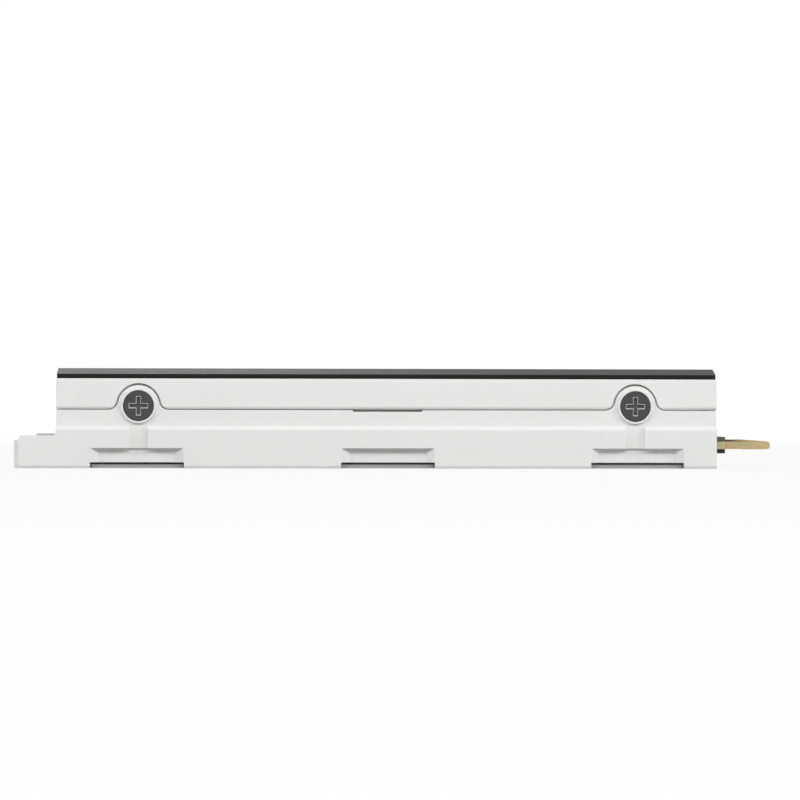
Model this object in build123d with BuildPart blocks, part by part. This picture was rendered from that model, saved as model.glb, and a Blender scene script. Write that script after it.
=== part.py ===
from build123d import *
import math
import os

# Solid state drive on a 22 by 80 module board, inside a two-shell heatsink. Millimetres.
# +X points to the edge connector and +Z up. The origin is under the middle of the whole drive.

# Circuit board
board_length = 80.0
board_width = 22.0
board_thickness = 0.8
board_corner_radius = 0.5
mounting_notch_radius = 1.75
ground_ring_width = 0.9
copper_thickness = 0.035

# Edge connector
tab_length = 4.9
tab_width = 19.85
tab_bevel_length = 0.3
tab_bevel_height = 0.12
tab_corner_radius = 0.2
key_width = 1.2
key_depth = 3.5
key_offset = 6.125
key_bare_half_width = 1.0
contact_pitch = 0.5
contact_width = 0.35
contact_tip_gap = 0.05
contact_side_margin = 0.8
contact_length_top = 2.0
contact_length_bottom = 2.5

# Stack of layers, from the bottom up
base_plate_thickness = 0.42
tray_floor_thickness = 1.2
bottom_pad_thickness = 0.45
chip_height = 1.2
top_pad_thickness = 0.85
tongue_depth = 1.22
heatsink_side_height = 3.3
adhesive_thickness = 0.15
plate_edge_height = 0.46
plate_bevel_rise = 0.64

# Shells, seen from above
low_bay_length = 4.4
shoulder_overhang = 1.1
board_side_clearance = 0.1
upper_wall = 0.6
lower_wall_step = 0.45
tongue_clearance = 0.05
end_wall_thickness = 1.5
end_seal_thickness = 0.5
end_seal_length = 2.55
seam_gap = 0.08
heatsink_edge_chamfer = 0.25
seam_edge_radius = 0.35
shell_corner_chamfer = 0.1

# Tray walls
low_wall_rise = 0.57
low_wall_slope_length = 0.24
low_wall_fillet = 0.42
end_lip_length = 0.43
end_lip_drop = 0.5
end_lip_inset = 0.4
step_above_board = 1.18
step_rise = 0.4
bottom_chamfer_height = 0.27
bottom_chamfer_run = 0.12
standoff_clear_radius = 3.5

# Grip pockets and base plate tabs, three to a side
pocket_spacing = 26.38
pocket_row_shift = 0.05
pocket_height = 1.5
pocket_depth = 0.74
pocket_half_length = 4.85
pocket_end_run = 0.9
tab_slot_gap = 0.2
tab_slot_half_length = 4.93
tab_slot_depth = 2.6
base_tab_end_gap = 0.08
base_tab_setback = 1.2
base_plate_side_margin = 1.8
base_plate_end_margin = 2.6
base_plate_corner_radius = 1.0
base_plate_clearance = 0.1

# Screws, ears and driver channels
screw_spacing = 52.36
screw_above_seam = 0.43
screw_thread_radius = 1.0
screw_thread_length = 3.0
screw_tip_chamfer = 0.25
screw_head_radius = 1.6
screw_head_thickness = 0.55
screw_head_bevel = 0.08
screw_seat_depth = 0.25
screw_seat_clearance = 0.03
seat_ring_width = 0.21
seat_ring_height = 0.28
cross_span = 1.9
cross_width = 0.41
cross_depth = 0.3
cross_edge_chamfer = 0.06
ear_rim = 0.33
ear_blend = 1.05
ear_gap = 0.2
ear_hole_clearance = 0.12
thread_clearance = 0.02
thread_end_gap = 0.4
channel_half_width = 0.96

# Opening notch in the seam
pry_length = 7.4
pry_depth = 0.16
pry_end_run = 0.1
pry_reach = 0.5

# Top plate
plate_side_inset = 0.25
plate_end_inset = 0.04
plate_bevel_run = 2.5
plate_corner_radius = 0.2
adhesive_inset = 1.2

# Thermal pads
pad_side_inset = 0.5
top_pad_end_gap = 0.3
bottom_pad_bay_gap = 0.4

# Chips and small components on the board
controller_length = 11.0
controller_width = 12.0
controller_from_shoulder = 13.0
flash_length = 12.0
flash_width = 18.0
flash_count = 2
flash_gap = 1.5
power_chip_side = 4.0
power_chip_height = 0.8
power_column_from_shoulder = 5.0
power_chip_offset = 6.0
inductor_length = 2.5
inductor_width = 2.0
inductor_height = 1.0
inductor_count = 3
inductor_pitch = 3.0
crystal_length = 2.0
crystal_width = 1.6
crystal_height = 0.45
sensor_side = 1.6
sensor_height = 0.5
side_chip_gap = 1.0
capacitor_length = 1.0
capacitor_width = 0.5
capacitor_height = 0.5
capacitor_rows = 6
capacitor_pitch = 2.6
resistor_length = 1.0
resistor_width = 0.5
resistor_height = 0.35
resistor_rows = 4
resistor_pitch = 2.2
small_part_columns = 2
small_part_column_pitch = 2.0

# Cuts start this far outside the face that they enter
overrun = 1.0

# Places along the drive
board_left = -board_length / 2
board_right = board_length / 2
shoulder = board_right - tab_length
body_left = board_left + low_bay_length
body_right = shoulder - shoulder_overhang
body_middle = (body_left + body_right) / 2
screw_places = [body_middle - screw_spacing / 2, body_middle + screw_spacing / 2]
pocket_places = [body_middle + pocket_row_shift + i * pocket_spacing for i in (-1, 0, 1)]

# Heights
floor_top = base_plate_thickness + tray_floor_thickness
board_bottom = floor_top + bottom_pad_thickness
board_top = board_bottom + board_thickness
tallest_component = max(chip_height, power_chip_height, inductor_height)
ceiling = board_top + tallest_component + top_pad_thickness
seam = ceiling + tongue_depth
flange_bottom = seam + seam_gap
heatsink_top = seam + heatsink_side_height
low_wall_top = board_top + low_wall_rise
step_bottom = board_top + step_above_board
step_top = step_bottom + step_rise
slot_top = base_plate_thickness + tab_slot_gap
pocket_top = slot_top + pocket_height
screw_height = seam + screw_above_seam

# Distances from the middle plane out to each wall face
inner_half = board_width / 2 + board_side_clearance
upper_half = inner_half + upper_wall
lower_half = upper_half + lower_wall_step
tongue_half = inner_half - tongue_clearance
base_plate_half = lower_half - base_plate_side_margin
pad_half = board_width / 2 - pad_side_inset
screw_seat = upper_half - screw_seat_depth
screw_seat_radius = screw_head_radius + screw_seat_clearance
seat_ring_radius = screw_seat_radius + seat_ring_width
seat_ring_face = upper_half + seat_ring_height
ear_radius = seat_ring_radius + ear_rim
notch_blend = ear_blend - ear_gap + seam_gap


def ear_outline(line_drop, radius, blend):
    """Face of a screw ear about the screw's axis: an arc over the screw, blended into a level line."""
    reach = math.sqrt((radius + blend) ** 2 - (blend - line_drop) ** 2)
    touch_x = reach * radius / (radius + blend)
    touch_y = (blend - line_drop) * radius / (radius + blend)
    skirt = line_drop + upper_wall
    with BuildSketch() as ear:
        with BuildLine():
            Polyline((-reach, -line_drop), (-reach, -skirt), (reach, -skirt), (reach, -line_drop))
            TangentArc((-reach, -line_drop), (-touch_x, touch_y), tangent=(1, 0))
            ThreePointArc((-touch_x, touch_y), (0, radius), (touch_x, touch_y))
            TangentArc((reach, -line_drop), (touch_x, touch_y), tangent=(-1, 0))
        make_face()
    return ear.sketch


def side_planes(half_width):
    """Planes on the front side at the screws' axes, facing out."""
    return [Plane((x, -half_width, screw_height), x_dir=(1, 0, 0), z_dir=(0, -1, 0)) for x in screw_places]


def outer_end_edges(shell, end):
    """Upright edges at one end of a shell, on the outside of its upper side wall."""
    at_end = shell.edges().filter_by(Axis.Z).filter_by_position(Axis.X, end, end)
    return at_end.filter_by_position(Axis.Y, -upper_half, -upper_half)


# Tray, the lower shell: half of its section, its side view, then the details of one side
with BuildPart() as tray:
    with BuildSketch(Plane.YZ.offset(board_left)):
        with BuildLine():
            Polyline(
                (0, 0),
                (-lower_half + bottom_chamfer_run, 0),
                (-lower_half, bottom_chamfer_height),
                (-lower_half, step_bottom),
                (-upper_half, step_top),
                (-upper_half, seam),
                (-inner_half, seam),
                (-inner_half, floor_top),
                (0, floor_top),
                close=True,
            )
        make_face()
    extrude(amount=body_right - board_left)
    with BuildSketch(Plane.XZ):
        with BuildLine():
            Polyline(
                (board_left, 0),
                (board_left, low_wall_top - end_lip_drop),
                (board_left + end_lip_length, low_wall_top - end_lip_drop),
                (board_left + end_lip_length + low_wall_slope_length, low_wall_top),
                (body_left - low_wall_fillet, low_wall_top),
            )
            TangentArc(
                (body_left - low_wall_fillet, low_wall_top),
                (body_left, low_wall_top + low_wall_fillet),
                tangent=(1, 0),
            )
            Polyline(
                (body_left, low_wall_top + low_wall_fillet),
                (body_left, seam),
                (body_right, seam),
                (body_right, 0),
                (board_left, 0),
            )
        make_face()
    extrude(amount=lower_half + overrun, mode=Mode.INTERSECT)
    with BuildSketch(Plane.XZ.offset(inner_half)):
        with Locations(*[(x, screw_height) for x in screw_places]):
            add(ear_outline(screw_above_seam, ear_radius, ear_blend))
    extrude(amount=upper_wall)
    # Opening notch
    with BuildSketch(Plane.XZ.offset(inner_half)):
        with BuildLine():
            Polyline(
                (body_middle - pry_length / 2, seam),
                (body_middle - pry_length / 2 + pry_end_run, seam - pry_depth),
                (body_middle + pry_length / 2 - pry_end_run, seam - pry_depth),
                (body_middle + pry_length / 2, seam),
                close=True,
            )
        make_face()
    extrude(amount=upper_wall, mode=Mode.SUBTRACT)
    # Driver channels, from the step down to the grip pockets
    with BuildSketch(Plane.XY.offset(pocket_top)):
        with Locations(*[(x, -upper_half) for x in screw_places]):
            Rectangle(2 * channel_half_width, lower_wall_step + overrun, align=(Align.CENTER, Align.MAX))
    extrude(amount=step_top - pocket_top, mode=Mode.SUBTRACT)
    # Grip pockets with sloped ends
    with BuildSketch(Plane.XY.offset(slot_top)):
        for x in pocket_places:
            with BuildLine():
                Polyline(
                    (x - pocket_half_length, -lower_half - overrun),
                    (x - pocket_half_length, -lower_half),
                    (x - pocket_half_length + pocket_end_run, -lower_half + pocket_depth),
                    (x + pocket_half_length - pocket_end_run, -lower_half + pocket_depth),
                    (x + pocket_half_length, -lower_half),
                    (x + pocket_half_length, -lower_half - overrun),
                    close=True,
                )
            make_face()
    extrude(amount=pocket_top - slot_top, mode=Mode.SUBTRACT)
    # Slots for the base plate's tabs, open at the bottom
    with BuildSketch(Plane.XZ.offset(lower_half - tab_slot_depth)):
        with Locations(*[(x, 0) for x in pocket_places]):
            Rectangle(2 * tab_slot_half_length, slot_top, align=(Align.CENTER, Align.MIN))
    extrude(amount=tab_slot_depth + overrun, mode=Mode.SUBTRACT)
    # Recess for the base plate
    with BuildSketch(Plane.XY):
        with Locations((body_middle, 0)):
            Rectangle(
                body_right - body_left - 2 * base_plate_end_margin + 2 * base_plate_clearance,
                base_plate_half + base_plate_clearance,
                align=(Align.CENTER, Align.MAX),
            )
        with Locations(*[(x, 0) for x in pocket_places]):
            Rectangle(2 * tab_slot_half_length, lower_half - tab_slot_depth, align=(Align.CENTER, Align.MAX))
    extrude(amount=base_plate_thickness, mode=Mode.SUBTRACT)
    # Clearance for the mounting standoff
    with Locations((board_left, 0, 0)):
        Hole(radius=standoff_clear_radius)
    # Thin lip at the open end of the bay
    with BuildSketch(Plane.XY):
        with Locations((board_left + end_lip_length, -lower_half + end_lip_inset)):
            Rectangle(end_lip_length + overrun, end_lip_inset + overrun, align=(Align.MAX, Align.MAX))
    extrude(amount=low_wall_top, mode=Mode.SUBTRACT)
    # Screw seats in raised rings
    with BuildSketch(*side_planes(upper_half)):
        Circle(seat_ring_radius)
    extrude(amount=seat_ring_height)
    with Locations(*side_planes(seat_ring_face)):
        CounterBoreHole(
            radius=screw_thread_radius + ear_hole_clearance,
            counter_bore_radius=screw_seat_radius,
            counter_bore_depth=seat_ring_height + screw_seat_depth,
            depth=seat_ring_height + upper_wall,
        )
    chamfer(
        outer_end_edges(tray, body_left) + outer_end_edges(tray, body_right),
        length=shell_corner_chamfer,
    )
    mirror(about=Plane.XZ)
tray.part.label = "tray"

# Heatsink, the upper shell, which reaches down into the tray
with BuildPart() as heatsink:
    with BuildSketch(Plane.YZ.offset(body_left)):
        with BuildLine():
            Polyline(
                (-upper_half, flange_bottom + seam_edge_radius),
                (-upper_half, heatsink_top - heatsink_edge_chamfer),
                (-upper_half + heatsink_edge_chamfer, heatsink_top),
                (0, heatsink_top),
                (0, ceiling),
                (-tongue_half, ceiling),
                (-tongue_half, flange_bottom),
                (-upper_half + seam_edge_radius, flange_bottom),
            )
            TangentArc(
                (-upper_half + seam_edge_radius, flange_bottom),
                (-upper_half, flange_bottom + seam_edge_radius),
                tangent=(-1, 0),
            )
        make_face()
    extrude(amount=body_right - body_left)
    # End walls, down to just above the board
    with BuildSketch(Plane.XY.offset(ceiling)):
        with Locations((body_left, 0)):
            Rectangle(end_wall_thickness, tongue_half, align=(Align.MIN, Align.MAX))
        with Locations((body_right, 0)):
            Rectangle(end_wall_thickness, tongue_half, align=(Align.MAX, Align.MAX))
    extrude(amount=-(ceiling - board_top - end_seal_thickness))
    # Notches that clear the tray's ears
    with BuildSketch(Plane.XZ.offset(tongue_half)):
        with Locations(*[(x, screw_height) for x in screw_places]):
            add(ear_outline(screw_height - flange_bottom, ear_radius + ear_gap, notch_blend))
    extrude(amount=upper_half - tongue_half + overrun, mode=Mode.SUBTRACT)
    with Locations(*side_planes(tongue_half)):
        Hole(radius=screw_thread_radius + thread_clearance, depth=screw_thread_length + thread_end_gap)
    # Recess behind the tray's opening notch
    with BuildSketch(Plane.XZ.offset(tongue_half - pry_reach)):
        with Locations((body_middle, seam - pry_depth)):
            Rectangle(pry_length, pry_depth + seam_gap, align=(Align.CENTER, Align.MIN))
    extrude(amount=pry_reach, mode=Mode.SUBTRACT)
    # Recess for the adhesive film
    with BuildSketch(Plane.XY.offset(heatsink_top)):
        with Locations((body_middle, 0)):
            Rectangle(
                body_right - body_left - 2 * adhesive_inset,
                upper_half - adhesive_inset,
                align=(Align.CENTER, Align.MAX),
            )
    extrude(amount=-adhesive_thickness, mode=Mode.SUBTRACT)
    chamfer(
        outer_end_edges(heatsink, body_left) + outer_end_edges(heatsink, body_right),
        length=shell_corner_chamfer,
    )
    mirror(about=Plane.XZ)
heatsink.part.label = "heatsink"

# Adhesive film between the heatsink and the top plate
with BuildPart() as plate_adhesive:
    with BuildSketch(Plane.XY.offset(heatsink_top - adhesive_thickness)):
        with Locations((body_middle, 0)):
            Rectangle(body_right - body_left - 2 * adhesive_inset, 2 * (upper_half - adhesive_inset))
    extrude(amount=adhesive_thickness)
plate_adhesive.part.label = "plate_adhesive"

# Top plate with a long bevel on each side
with BuildPart() as top_plate:
    plate_half = upper_half - plate_side_inset
    plate_top = heatsink_top + plate_edge_height + plate_bevel_rise
    with BuildSketch(Plane.YZ.offset(body_left + plate_end_inset)):
        with BuildLine():
            Polyline(
                (-plate_half, heatsink_top),
                (-plate_half, heatsink_top + plate_edge_height),
                (-plate_half + plate_bevel_run, plate_top),
                (plate_half - plate_bevel_run, plate_top),
                (plate_half, heatsink_top + plate_edge_height),
                (plate_half, heatsink_top),
                close=True,
            )
        make_face()
    extrude(amount=body_right - body_left - 2 * plate_end_inset)
    fillet(top_plate.edges().filter_by(Axis.Z), radius=plate_corner_radius)
top_plate.part.label = "top_plate"

# Base plate under the tray, with three tabs to a side
with BuildPart() as base_plate:
    with BuildSketch(Plane.XY):
        with Locations((body_middle, 0)):
            RectangleRounded(
                body_right - body_left - 2 * base_plate_end_margin,
                2 * base_plate_half,
                radius=base_plate_corner_radius,
            )
        with Locations(*[(x, 0) for x in pocket_places]):
            Rectangle(2 * (tab_slot_half_length - base_tab_end_gap), 2 * (lower_half - base_tab_setback))
    extrude(amount=base_plate_thickness)
base_plate.part.label = "base_plate"

# Cross-recess screws, modelled on the front side and mirrored to the back
with BuildPart() as side_screws:
    with Locations(*side_planes(screw_seat)):
        Cylinder(screw_head_radius, screw_head_thickness, align=(Align.CENTER, Align.CENTER, Align.MIN))
        Cylinder(screw_thread_radius, screw_thread_length, align=(Align.CENTER, Align.CENTER, Align.MAX))
    head_rims = side_screws.edges().filter_by(GeomType.CIRCLE).group_by(Axis.Y)[0]
    chamfer(head_rims, length=screw_head_bevel)
    tip_rims = side_screws.edges().filter_by(GeomType.CIRCLE).group_by(Axis.Y)[-1]
    chamfer(tip_rims, length=screw_tip_chamfer)
    head_face = screw_seat + screw_head_thickness
    with BuildSketch(*side_planes(head_face)):
        Rectangle(cross_span, cross_width)
        Rectangle(cross_width, cross_span)
    extrude(amount=-cross_depth, mode=Mode.SUBTRACT)
    cross_rims = side_screws.faces().filter_by(Axis.Y).group_by(Axis.Y)[0].edges().filter_by(GeomType.LINE)
    chamfer(cross_rims, length=cross_edge_chamfer)
    mirror(about=Plane.XZ)
side_screws.part.label = "side_screws"

# Circuit board with its mounting notch, keyed edge connector and bevelled tip
with BuildPart() as circuit_board:
    with BuildSketch(Plane.XY.offset(board_bottom)) as board_plan:
        with Locations((board_left, 0)):
            Rectangle(shoulder - board_left, board_width, align=(Align.MIN, Align.CENTER))
        fillet(board_plan.vertices(), radius=board_corner_radius)
        with Locations((board_right, 0)):
            Rectangle(tab_length + board_corner_radius, tab_width, align=(Align.MAX, Align.CENTER))
        fillet(board_plan.vertices().group_by(Axis.X)[-1], radius=tab_corner_radius)
        with Locations((board_left, 0)):
            Circle(mounting_notch_radius, mode=Mode.SUBTRACT)
        with Locations((board_right - key_depth + key_width / 2, -key_offset)):
            Circle(key_width / 2, mode=Mode.SUBTRACT)
            Rectangle(key_depth, key_width, align=(Align.MIN, Align.CENTER), mode=Mode.SUBTRACT)
    extrude(amount=board_thickness)
    with BuildSketch(Plane.XZ):
        for face_height, inward in ((board_bottom, 1), (board_top, -1)):
            with BuildLine():
                Polyline(
                    (board_right - tab_bevel_length, face_height),
                    (board_right, face_height + inward * tab_bevel_height),
                    (board_right + overrun, face_height + inward * tab_bevel_height),
                    (board_right + overrun, face_height),
                    close=True,
                )
            make_face()
    extrude(amount=board_width, both=True, mode=Mode.SUBTRACT)
circuit_board.part.label = "circuit_board"


def contact_places(count, length):
    """Centres of a row of contacts, without the ones that the key takes away."""
    x = board_right - tab_bevel_length - contact_tip_gap - length / 2
    across = [(i - (count - 1) / 2) * contact_pitch for i in range(count)]
    return [(x, y) for y in across if abs(y + key_offset) > key_bare_half_width]


# Contacts of the edge connector, the lower row half a pitch aside from the upper one
contact_count = math.floor((tab_width - contact_side_margin) / contact_pitch)
with BuildPart() as contacts_top:
    with BuildSketch(Plane.XY.offset(board_top)):
        with Locations(*contact_places(contact_count, contact_length_top)):
            Rectangle(contact_length_top, contact_width)
    extrude(amount=copper_thickness)
contacts_top.part.label = "contacts_top"

with BuildPart() as contacts_bottom:
    with BuildSketch(Plane.XY.offset(board_bottom)):
        with Locations(*contact_places(contact_count - 1, contact_length_bottom)):
            Rectangle(contact_length_bottom, contact_width)
    extrude(amount=-copper_thickness)
contacts_bottom.part.label = "contacts_bottom"


def half_ring(label, height, amount):
    """Plated half ring round the mounting notch."""
    outer_radius = mounting_notch_radius + ground_ring_width
    with BuildPart() as ring:
        with BuildSketch(Plane.XY.offset(height)):
            with Locations((board_left, 0)):
                Circle(outer_radius)
                Circle(mounting_notch_radius, mode=Mode.SUBTRACT)
                Rectangle(
                    outer_radius,
                    2 * outer_radius,
                    align=(Align.MIN, Align.CENTER),
                    mode=Mode.INTERSECT,
                )
        extrude(amount=amount)
    ring.part.label = label
    return ring


ground_rings = [
    half_ring("ground_ring_top", board_top, copper_thickness),
    half_ring("ground_ring_bottom", board_bottom, -copper_thickness),
]

# Thermal pads and the foam seal at the connector end
with BuildPart() as bottom_thermal_pad:
    pad_left = board_left + standoff_clear_radius + bottom_pad_bay_gap
    with BuildSketch(Plane.XY.offset(floor_top)):
        with Locations((pad_left, 0)):
            Rectangle(shoulder - pad_left, 2 * pad_half, align=(Align.MIN, Align.CENTER))
    extrude(amount=bottom_pad_thickness)
bottom_thermal_pad.part.label = "bottom_thermal_pad"

with BuildPart() as end_seal:
    with BuildSketch(Plane.XY.offset(board_top)):
        with Locations((shoulder, 0)):
            Rectangle(end_seal_length, 2 * pad_half, align=(Align.MAX, Align.CENTER))
    extrude(amount=end_seal_thickness)
end_seal.part.label = "end_seal"

with BuildPart() as top_thermal_pad:
    with BuildSketch(Plane.XY.offset(ceiling - top_pad_thickness)):
        with Locations((body_middle, 0)):
            Rectangle(body_right - body_left - 2 * (end_wall_thickness + top_pad_end_gap), 2 * pad_half)
    extrude(amount=top_pad_thickness)
top_thermal_pad.part.label = "top_thermal_pad"


def component(label, x, y, length, width, height):
    """A packaged component that stands on the board."""
    with BuildPart() as package:
        with Locations((x, y, board_top)):
            Box(length, width, height, align=(Align.CENTER, Align.CENTER, Align.MIN))
    package.part.label = label
    return package


def component_grid(label, x, rows, pitch, length, width, height):
    """Small components in columns from x towards the mounting end, numbered from one."""
    grid = []
    for column in range(small_part_columns):
        for row in range(rows):
            place_x = x - column * small_part_column_pitch
            place_y = (row - (rows - 1) / 2) * pitch
            number = column * rows + row + 1
            grid.append(component(f"{label}_{number}", place_x, place_y, length, width, height))
    return grid


controller_x = shoulder - controller_from_shoulder
power_x = shoulder - power_column_from_shoulder
flash_start = controller_x - controller_length / 2 - flash_gap
flash_pitch = flash_length + flash_gap
small_part_block = small_part_columns * small_part_column_pitch + flash_gap
capacitor_x = flash_start - flash_count * flash_pitch
resistor_x = capacitor_x - small_part_block
side_chip_x = resistor_x - (small_part_columns - 1) * small_part_column_pitch / 2
resistors_half = ((resistor_rows - 1) * resistor_pitch + resistor_width) / 2
crystal_y = resistors_half + side_chip_gap + crystal_width / 2
sensor_y = -(resistors_half + side_chip_gap + sensor_side / 2)
components = [
    component("controller_chip", controller_x, 0, controller_length, controller_width, chip_height),
    component("power_chip", power_x, -power_chip_offset, power_chip_side, power_chip_side, power_chip_height),
    component("clock_crystal", side_chip_x, crystal_y, crystal_length, crystal_width, crystal_height),
    component("temperature_sensor", side_chip_x, sensor_y, sensor_side, sensor_side, sensor_height),
]
for i in range(flash_count):
    flash_x = flash_start - flash_length / 2 - i * flash_pitch
    components.append(component(f"flash_chip_{i + 1}", flash_x, 0, flash_length, flash_width, chip_height))
for i in range(inductor_count):
    inductor_y = i * inductor_pitch
    inductor = component(
        f"inductor_{i + 1}", power_x, inductor_y, inductor_length, inductor_width, inductor_height
    )
    components.append(inductor)
components += component_grid(
    "capacitor",
    capacitor_x,
    capacitor_rows,
    capacitor_pitch,
    capacitor_length,
    capacitor_width,
    capacitor_height,
)
components += component_grid(
    "resistor",
    resistor_x,
    resistor_rows,
    resistor_pitch,
    resistor_length,
    resistor_width,
    resistor_height,
)

# One file for each piece
os.makedirs("parts", exist_ok=True)
shells = [tray, heatsink, plate_adhesive, top_plate, base_plate, side_screws]
board_pieces = [circuit_board, contacts_top, contacts_bottom]
pads = [bottom_thermal_pad, end_seal, top_thermal_pad]
for piece in shells + board_pieces + ground_rings + pads + components:
    export_step(piece.part, f"parts/{piece.part.label}.step")
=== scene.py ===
import math

import bpy
from mathutils import Matrix, Vector


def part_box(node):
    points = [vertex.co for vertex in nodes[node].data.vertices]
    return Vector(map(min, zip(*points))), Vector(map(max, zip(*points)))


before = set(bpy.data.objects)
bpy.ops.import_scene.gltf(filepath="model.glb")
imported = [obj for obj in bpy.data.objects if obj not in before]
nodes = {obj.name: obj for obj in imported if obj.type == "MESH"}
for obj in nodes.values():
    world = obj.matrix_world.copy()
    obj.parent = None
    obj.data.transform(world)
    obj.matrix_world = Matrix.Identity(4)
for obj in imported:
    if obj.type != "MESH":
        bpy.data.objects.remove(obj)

MM = 0.001
X, Y, Z = 0, 1, 2

# Places of the mix node's colour sockets, which share their names with its other sockets
MIX_A = 6
MIX_B = 7
MIX_RESULT = 2

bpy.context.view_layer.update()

# Camera, fitted to the photograph: place and lens in millimetres, angles in degrees, clip in metres
CAMERA_PLACE_MM = (-12.62, -341.25, 6.53)
CAMERA_YAW = -2.28
CAMERA_PITCH = 0.12
CAMERA_ROLL = 0.106
CAMERA_LENS = 140.85
SENSOR_WIDTH = 36.0
CAMERA_CLIP = (0.005, 20.0)


def make_camera():
    data = bpy.data.cameras.new("camera")
    data.lens = CAMERA_LENS
    data.sensor_width = SENSOR_WIDTH
    data.clip_start, data.clip_end = CAMERA_CLIP
    camera = bpy.data.objects.new("camera", data)
    bpy.context.scene.collection.objects.link(camera)
    turn = Matrix.Rotation(math.radians(CAMERA_YAW), 4, "Z")
    tilt = Matrix.Rotation(math.radians(90 + CAMERA_PITCH), 4, "X")
    roll = Matrix.Rotation(math.radians(CAMERA_ROLL), 4, "Z")
    camera.matrix_world = Matrix.Translation(Vector(CAMERA_PLACE_MM) * MM) @ turn @ tilt @ roll
    bpy.context.scene.camera = camera


class Material:
    """A node material with a Principled shader, and short helpers for the nodes before it."""

    def __init__(self, name):
        self.material = bpy.data.materials.new(name)
        self.material.use_nodes = True
        self.tree = self.material.node_tree
        self.shader = self.tree.nodes["Principled BSDF"]
        self.place = self.node("ShaderNodeTexCoord").outputs["Object"]
        self.face_normal = self.node("ShaderNodeNewGeometry").outputs["True Normal"]

    def node(self, kind, **settings):
        made = self.tree.nodes.new(kind)
        for key, value in settings.items():
            setattr(made, key, value)
        return made

    def feed(self, socket, value):
        if isinstance(value, bpy.types.NodeSocket):
            self.tree.links.new(value, socket)
        else:
            socket.default_value = value

    def set(self, **sockets):
        """Sets the shader's sockets, whose names are written with underscores for spaces."""
        for name, value in sockets.items():
            self.feed(self.shader.inputs[name.replace("_", " ")], value)

    def math(self, operation, a, b=0.0):
        made = self.node("ShaderNodeMath", operation=operation)
        self.feed(made.inputs[0], a)
        self.feed(made.inputs[1], b)
        return made.outputs[0]

    def opposite(self, share):
        """1 where share is 0 and 0 where it is 1."""
        return self.math("SUBTRACT", 1.0, share)

    def both(self, share, other):
        return self.math("MULTIPLY", share, other)

    def noise(self, size_mm, detail, roughness=0.5, stretch=(1, 1, 1)):
        """Noise from 0 to 1 whose blotches are about size_mm across."""
        mapping = self.node("ShaderNodeMapping")
        self.feed(mapping.inputs["Vector"], self.place)
        mapping.inputs["Scale"].default_value = stretch
        made = self.node("ShaderNodeTexNoise")
        self.feed(made.inputs["Vector"], mapping.outputs[0])
        made.inputs["Scale"].default_value = 1 / (size_mm * MM)
        made.inputs["Detail"].default_value = detail
        made.inputs["Roughness"].default_value = roughness
        return made.outputs["Fac"]

    def spread(self, value, low, high):
        """A 0 to 1 value spread over low to high."""
        made = self.node("ShaderNodeMapRange", clamp=True)
        self.feed(made.inputs["Value"], value)
        made.inputs["To Min"].default_value = low
        made.inputs["To Max"].default_value = high
        return made.outputs[0]

    def step(self, value, start, end):
        """0 below start and 1 above end, smooth between them."""
        made = self.node("ShaderNodeMapRange", clamp=True, interpolation_type="SMOOTHSTEP")
        self.feed(made.inputs["Value"], value)
        made.inputs["From Min"].default_value = start
        made.inputs["From Max"].default_value = end
        return made.outputs[0]

    def mix(self, share, a, b):
        """Colour a where share is 0 and colour b where it is 1."""
        made = self.node("ShaderNodeMix", data_type="RGBA")
        self.feed(made.inputs["Factor"], share)
        self.feed(made.inputs[MIX_A], a)
        self.feed(made.inputs[MIX_B], b)
        return made.outputs[MIX_RESULT]

    def axis(self, vector, index):
        made = self.node("ShaderNodeSeparateXYZ")
        self.feed(made.inputs[0], vector)
        return made.outputs[index]

    def facing(self, index):
        """How squarely a face looks along X, Y or Z, either way: from 0 to 1."""
        return self.math("ABSOLUTE", self.axis(self.face_normal, index))

    def soft_edges(self, radius_mm):
        """Normals as if every edge were rounded to this radius."""
        made = self.node("ShaderNodeBevel", samples=6)
        made.inputs["Radius"].default_value = radius_mm * MM
        return made.outputs[0]

    def bump(self, height, depth_mm, strength, normal=None):
        made = self.node("ShaderNodeBump")
        made.inputs["Strength"].default_value = strength
        made.inputs["Distance"].default_value = depth_mm * MM
        self.feed(made.inputs["Height"], height)
        if normal is not None:
            self.feed(made.inputs["Normal"], normal)
        self.feed(self.shader.inputs["Normal"], made.outputs[0])

    def put_on(self, *names):
        for name in names:
            piece = nodes[name]
            if not piece.material_slots:
                piece.data.materials.append(self.material)
            for slot in piece.material_slots:
                slot.link = "OBJECT"
                slot.material = self.material


def grey(level, warm=0.0):
    return (level * (1 + warm), level, level * (1 - warm), 1)


# Colours: most are a darker and a lighter one, which noise mixes
WHITE_COAT = (grey(0.80, 0.004), grey(0.835, 0.002))
DARK_COAT = (grey(0.010), grey(0.015))
PLAIN_METAL = (grey(0.30), grey(0.38))
SCREW_COAT = (grey(0.046), grey(0.060))
# Painted light: the recess is painted lighter than the coating, standing in for light that the recess
# shades off
SCREW_RECESS_PAINTED_LIGHT = grey(0.09)
# Bare metal of worn edges with painted light: the lighter one is a painted highlight on edges facing up or
# down, the darker one painted shade on edges facing sideways
EDGE_WEAR_AND_PAINTED_LIGHT = (grey(0.55), grey(0.85))
BOARD_OLIVE = ((0.41, 0.39, 0.21, 1), (0.55, 0.51, 0.31, 1))
BOARD_TAN = ((0.51, 0.39, 0.20, 1), (0.65, 0.51, 0.30, 1))
BOARD_MASK = ((0.022, 0.015, 0.018, 1), (0.036, 0.025, 0.028, 1))
GOLD = ((0.62, 0.42, 0.15, 1), (0.76, 0.54, 0.24, 1))
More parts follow.
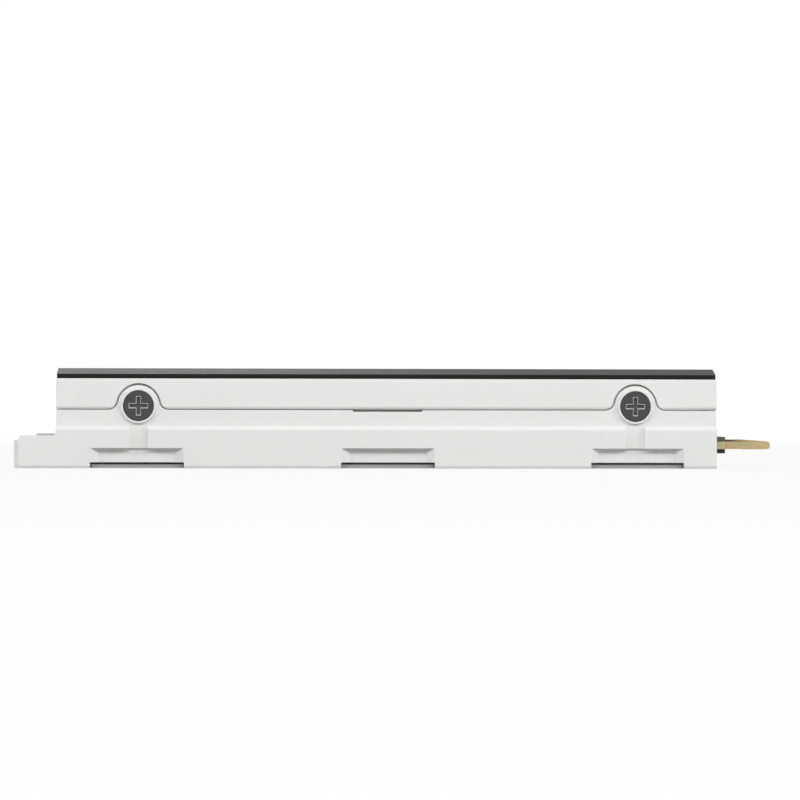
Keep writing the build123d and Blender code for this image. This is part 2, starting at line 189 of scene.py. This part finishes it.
# Painted reflection: a dark purplish tint of the gold's gloss at grazing angles, standing in for a darker
# reflection there
GOLD_PAINTED_DARK_REFLECTION = (0.14, 0.10, 0.10, 1)
FILM = (grey(0.55), grey(0.65))
FOAM = ((0.07, 0.066, 0.045, 1), (0.15, 0.14, 0.10, 1))
SILICONE = ((0.022, 0.019, 0.013, 1), (0.065, 0.056, 0.04, 1))
CHIP_CASE = (grey(0.022), grey(0.034))
CERAMIC = ((0.38, 0.29, 0.2, 1), (0.5, 0.4, 0.3, 1))
RESISTOR_FILM = (grey(0.02), grey(0.03))
FERRITE = (grey(0.10), grey(0.15))
CRYSTAL_CAN = (grey(0.6), grey(0.7))

# Spans over which one look passes into the next
HEAD_TO_RIM_RADIUS_SHARE = (0.8, 0.9)
RECESS_TO_HEAD_DEPTH_MM = (0.006, 0.002)
WALL_TO_SLANT = (0.4, 0.5)
SLANT_TO_FLAT = (0.9, 0.97)
SIDEWAYS_TO_LEVEL = (0.2, 0.5)
CUT_EDGE_TO_MASK = (0.97, 0.99)
OLIVE_TO_TAN = (0.3, 0.7)

CHIPS = ("controller", "flash", "power", "temp")
ROUGHNESS_EITHER_WAY = 0.05


def white_coat():
    made = Material("white_coat")
    cloud = made.noise(size_mm=9.0, detail=3)
    speckle = made.noise(size_mm=0.6, detail=3)
    grain = made.noise(size_mm=0.16, detail=2)
    made.set(
        Base_Color=made.mix(cloud, *WHITE_COAT),
        Roughness=made.spread(speckle, low=0.46, high=0.56),
        Specular_IOR_Level=0.4,
    )
    made.bump(grain, depth_mm=0.004, strength=0.5, normal=made.soft_edges(radius_mm=0.07))
    made.put_on("tray", "heatsink")


def dark_coat():
    made = Material("dark_coat")
    cloud = made.noise(size_mm=6.0, detail=3)
    speckle = made.noise(size_mm=0.4, detail=3)
    grain = made.noise(size_mm=0.09, detail=2)
    made.set(
        Base_Color=made.mix(cloud, *DARK_COAT),
        Roughness=made.spread(speckle, low=0.34, high=0.44),
        Specular_IOR_Level=0.104,
    )
    made.bump(grain, depth_mm=0.004, strength=0.6, normal=made.soft_edges(radius_mm=0.18))
    made.put_on("top_plate")


def plain_metal():
    made = Material("plain_metal")
    streaks = made.noise(size_mm=0.5, detail=4, stretch=(0.05, 1, 1))
    made.set(
        Base_Color=made.mix(streaks, *PLAIN_METAL),
        Metallic=0.7,
        Roughness=made.spread(streaks, low=0.38, high=0.5),
    )
    made.bump(streaks, depth_mm=0.003, strength=0.4, normal=made.soft_edges(radius_mm=0.05))
    made.put_on("base_plate")


def screw_axis_distance(made):
    """Distance from the axis of the nearest side screw, as a share of the head's radius."""
    low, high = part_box("side_screws")
    head_radius = (high[Z] - low[Z]) / 2
    half_spacing = (high[X] - low[X]) / 2 - head_radius
    along = made.math("SUBTRACT", made.axis(made.place, X), (low[X] + high[X]) / 2)
    along = made.math("SUBTRACT", made.math("ABSOLUTE", along), half_spacing)
    up = made.math("SUBTRACT", made.axis(made.place, Z), (low[Z] + high[Z]) / 2)
    squares = made.math("ADD", made.math("POWER", along, 2.0), made.math("POWER", up, 2.0))
    return made.math("DIVIDE", made.math("SQRT", squares), head_radius)


def screw_recess_share(made):
    """1 in the cross recess of a screw's head, and 0 on the head's face and rim."""
    head_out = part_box("side_screws")[1][Y]
    place_out = made.math("ABSOLUTE", made.axis(made.place, Y))
    on_the_head = made.step(place_out, *[head_out - depth * MM for depth in RECESS_TO_HEAD_DEPTH_MM])
    on_the_rim = made.step(screw_axis_distance(made), *HEAD_TO_RIM_RADIUS_SHARE)
    return made.both(made.opposite(on_the_rim), made.opposite(on_the_head))


def black_screw():
    """Black coating, worn on the slanted edges of the cross recess, to metal where they look down. Painted
    light: the worn edges are lighter where they face up or down and darker where they face sideways, and
    the rest of the recess is painted lighter than the coating.
    """
    made = Material("black_screw")
    off_the_wall = made.step(made.facing(Y), *WALL_TO_SLANT)
    flat = made.step(made.facing(Y), *SLANT_TO_FLAT)
    slanted = made.both(off_the_wall, made.opposite(flat))
    # Inside the recess the colour is painted lighter than the coating: painted light
    in_recess = screw_recess_share(made)
    looking_down = made.math("MULTIPLY", made.axis(made.face_normal, Z), -1.0)
    downward = made.step(looking_down, *SIDEWAYS_TO_LEVEL)
    # Painted light on the worn edges: lighter where they face up or down, darker where they face sideways
    wear_and_painted_light = made.mix(made.step(made.facing(Z), *SIDEWAYS_TO_LEVEL), *EDGE_WEAR_AND_PAINTED_LIGHT)
    wear = made.noise(size_mm=0.25, detail=3)
    coat = made.mix(wear, *SCREW_COAT)
    made.set(
        Base_Color=made.mix(in_recess, coat, made.mix(slanted, SCREW_RECESS_PAINTED_LIGHT, wear_and_painted_light)),
        Metallic=made.both(made.both(slanted, in_recess), downward),
        Roughness=made.spread(wear, low=0.38, high=0.48),
        Specular_IOR_Level=0.3,
    )
    made.bump(made.noise(size_mm=0.05, detail=2), depth_mm=0.002, strength=0.4)
    made.put_on("side_screws")


def circuit_board():
    """Dark mask on the level faces, and bare glass fibre, olive to tan, on the cut edges."""
    made = Material("circuit_board")
    masked = made.step(made.facing(Z), *CUT_EDGE_TO_MASK)
    fibres = made.noise(size_mm=0.12, detail=3, stretch=(0.25, 0.25, 1.6))
    tint = made.step(made.noise(size_mm=1.6, detail=1), *OLIVE_TO_TAN)
    cut = made.mix(tint, made.mix(fibres, *BOARD_OLIVE), made.mix(fibres, *BOARD_TAN))
    cloud = made.noise(size_mm=2.0, detail=3)
    made.set(
        Base_Color=made.mix(masked, cut, made.mix(cloud, *BOARD_MASK)),
        Roughness=made.spread(fibres, low=0.7, high=0.85),
        Specular_IOR_Level=0.04,
    )
    made.bump(fibres, depth_mm=0.003, strength=0.3)
    made.put_on("circuit_board")


def gold_plate():
    made = Material("gold_plate")
    wear = made.noise(size_mm=0.3, detail=3)
    made.set(
        Base_Color=made.mix(wear, *GOLD),
        Metallic=1.0,
        Roughness=made.spread(wear, low=0.34, high=0.46),
        # Painted dark reflection where the gold is seen at a graze
        Specular_Tint=GOLD_PAINTED_DARK_REFLECTION,
    )
    made.put_on("contacts_top", "contacts_bottom", "ground_ring_top", "ground_ring_bottom")


def adhesive_film():
    made = Material("film")
    cloud = made.noise(size_mm=1.0, detail=3)
    made.set(Base_Color=made.mix(cloud, *FILM), Roughness=0.6)
    made.put_on("plate_adhesive")


def soft_pad(name, colours, *pieces, cell_mm):
    made = Material(name)
    cells = made.noise(cell_mm, detail=4, roughness=0.7)
    made.set(Base_Color=made.mix(cells, *colours), Roughness=made.spread(cells, low=0.75, high=0.95))
    made.bump(cells, depth_mm=0.02, strength=0.5, normal=made.soft_edges(radius_mm=0.05))
    made.put_on(*pieces)


def component_finish(name, colours, starts, roughness, metallic, grain_mm):
    """Finish for every component whose name begins with starts, or with one of them."""
    made = Material(name)
    grain = made.noise(grain_mm, detail=3)
    made.set(
        Base_Color=made.mix(grain, *colours),
        Roughness=made.spread(grain, roughness - ROUGHNESS_EITHER_WAY, roughness + ROUGHNESS_EITHER_WAY),
        Metallic=metallic,
    )
    made.bump(grain, depth_mm=0.005, strength=0.3, normal=made.soft_edges(radius_mm=0.04))
    made.put_on(*[piece for piece in nodes if piece.startswith(starts)])


def dress():
    white_coat()
    dark_coat()
    plain_metal()
    black_screw()
    circuit_board()
    gold_plate()
    adhesive_film()
    soft_pad("foam", FOAM, "end_seal", cell_mm=0.15)
    soft_pad("silicone_pad", SILICONE, "bottom_thermal_pad", "top_thermal_pad", cell_mm=0.2)
    component_finish("chip_case", CHIP_CASE, CHIPS, roughness=0.55, metallic=0.0, grain_mm=0.12)
    component_finish("ceramic", CERAMIC, "capacitor", roughness=0.5, metallic=0.0, grain_mm=0.1)
    component_finish("resistor_film", RESISTOR_FILM, "resistor", roughness=0.3, metallic=0.0, grain_mm=0.1)
    component_finish("ferrite", FERRITE, "inductor", roughness=0.6, metallic=0.2, grain_mm=0.08)
    component_finish("crystal_can", CRYSTAL_CAN, "clock", roughness=0.3, metallic=1.0, grain_mm=0.3)


# Studio: a pale floor, a white surround and soft lamps, with the floor's sizes in metres
FLOOR_SIZE = 6.0
FLOOR_PAINT = 0.5
FLOOR_ROUGHNESS = 0.9
FLOOR_WHITE_NEAR = 0.91
FLOOR_FADE = (0.08, 0.35)
SURROUND_LIGHT = 0.06

# Name, azimuth and elevation in degrees, distance, width and height in metres, power in watts
LAMPS = (
    ("key", -85, 36, 0.3, (0.3, 0.09), 0.45),
    ("left_side", -150, 25, 1.0, (0.4, 0.4), 3.1),
    ("right_side", -30, 25, 1.0, (0.4, 0.4), 3.7),
    ("left_end", 150, 20, 1.0, (0.5, 0.5), 5.2),
    ("right_end", 30, 20, 1.0, (0.5, 0.5), 5.2),
    ("back_left", 108, 27, 1.0, (0.62, 0.3), 1.02),
)


def math_node(tree, operation, a, b):
    made = tree.nodes.new("ShaderNodeMath")
    made.operation = operation
    tree.links.new(a, made.inputs[0])
    tree.links.new(b, made.inputs[1])
    return made.outputs[0]


def white_to_the_eye(tree, lit, share=None):
    """Mixes a shader with white where the camera, gloss or glass looks at it, wholly or by a share."""
    path = tree.nodes.new("ShaderNodeLightPath")
    seen = path.outputs["Is Camera Ray"]
    for extra in ("Is Glossy Ray", "Is Transmission Ray"):
        seen = math_node(tree, "MAXIMUM", seen, path.outputs[extra])
    if share is not None:
        seen = math_node(tree, "MULTIPLY", seen, share)
    white = tree.nodes.new("ShaderNodeEmission")
    mixed = tree.nodes.new("ShaderNodeMixShader")
    tree.links.new(seen, mixed.inputs[0])
    tree.links.new(lit, mixed.inputs[1])
    tree.links.new(white.outputs[0], mixed.inputs[2])
    return mixed.outputs[0]


def white_share_by_distance(tree):
    """How white the floor looks: its shadow shows near the object, and further out it is plain white."""
    place = tree.nodes.new("ShaderNodeTexCoord")
    distance = tree.nodes.new("ShaderNodeVectorMath")
    distance.operation = "LENGTH"
    tree.links.new(place.outputs["Object"], distance.inputs[0])
    fade = tree.nodes.new("ShaderNodeMapRange")
    fade.interpolation_type = "SMOOTHSTEP"
    fade.inputs["From Min"].default_value, fade.inputs["From Max"].default_value = FLOOR_FADE
    fade.inputs["To Min"].default_value = FLOOR_WHITE_NEAR
    fade.inputs["To Max"].default_value = 1.0
    tree.links.new(distance.outputs["Value"], fade.inputs["Value"])
    return fade.outputs["Result"]


def make_floor():
    half = FLOOR_SIZE / 2
    mesh = bpy.data.meshes.new("floor")
    corners = [(-half, -half, 0), (half, -half, 0), (half, half, 0), (-half, half, 0)]
    mesh.from_pydata(corners, [], [(0, 1, 2, 3)])
    floor = bpy.data.objects.new("floor", mesh)
    bpy.context.scene.collection.objects.link(floor)
    material = bpy.data.materials.new("floor")
    material.use_nodes = True
    tree = material.node_tree
    paint = tree.nodes["Principled BSDF"]
    paint.inputs["Base Color"].default_value = grey(FLOOR_PAINT)
    paint.inputs["Roughness"].default_value = FLOOR_ROUGHNESS
    paint.inputs["Specular IOR Level"].default_value = 0.0
    out = tree.nodes["Material Output"]
    seen = white_to_the_eye(tree, paint.outputs[0], white_share_by_distance(tree))
    tree.links.new(seen, out.inputs["Surface"])
    mesh.materials.append(material)


def make_world():
    world = bpy.data.worlds.new("surround")
    world.use_nodes = True
    tree = world.node_tree
    light = tree.nodes["Background"]
    light.inputs["Color"].default_value = grey(1.0)
    light.inputs["Strength"].default_value = SURROUND_LIGHT
    out = tree.nodes["World Output"]
    tree.links.new(white_to_the_eye(tree, light.outputs[0]), out.inputs["Surface"])
    bpy.context.scene.world = world


def area_lamp(name, azimuth, elevation, distance, size, power):
    """A flat lamp that looks at the middle of the object's underside."""
    data = bpy.data.lights.new(name, "AREA")
    data.shape = "RECTANGLE"
    data.size, data.size_y = size
    data.energy = power
    lamp = bpy.data.objects.new(name, data)
    turn = math.radians(azimuth)
    rise = math.radians(elevation)
    way = Vector((math.cos(rise) * math.cos(turn), math.cos(rise) * math.sin(turn), math.sin(rise)))
    lamp.location = way * distance
    lamp.rotation_euler = (-way).to_track_quat("-Z", "Y").to_euler()
    bpy.context.scene.collection.objects.link(lamp)


make_camera()
dress()
make_floor()
make_world()
for lamp_facts in LAMPS:
    area_lamp(*lamp_facts)
bpy.context.scene.view_settings.view_transform = "Standard"

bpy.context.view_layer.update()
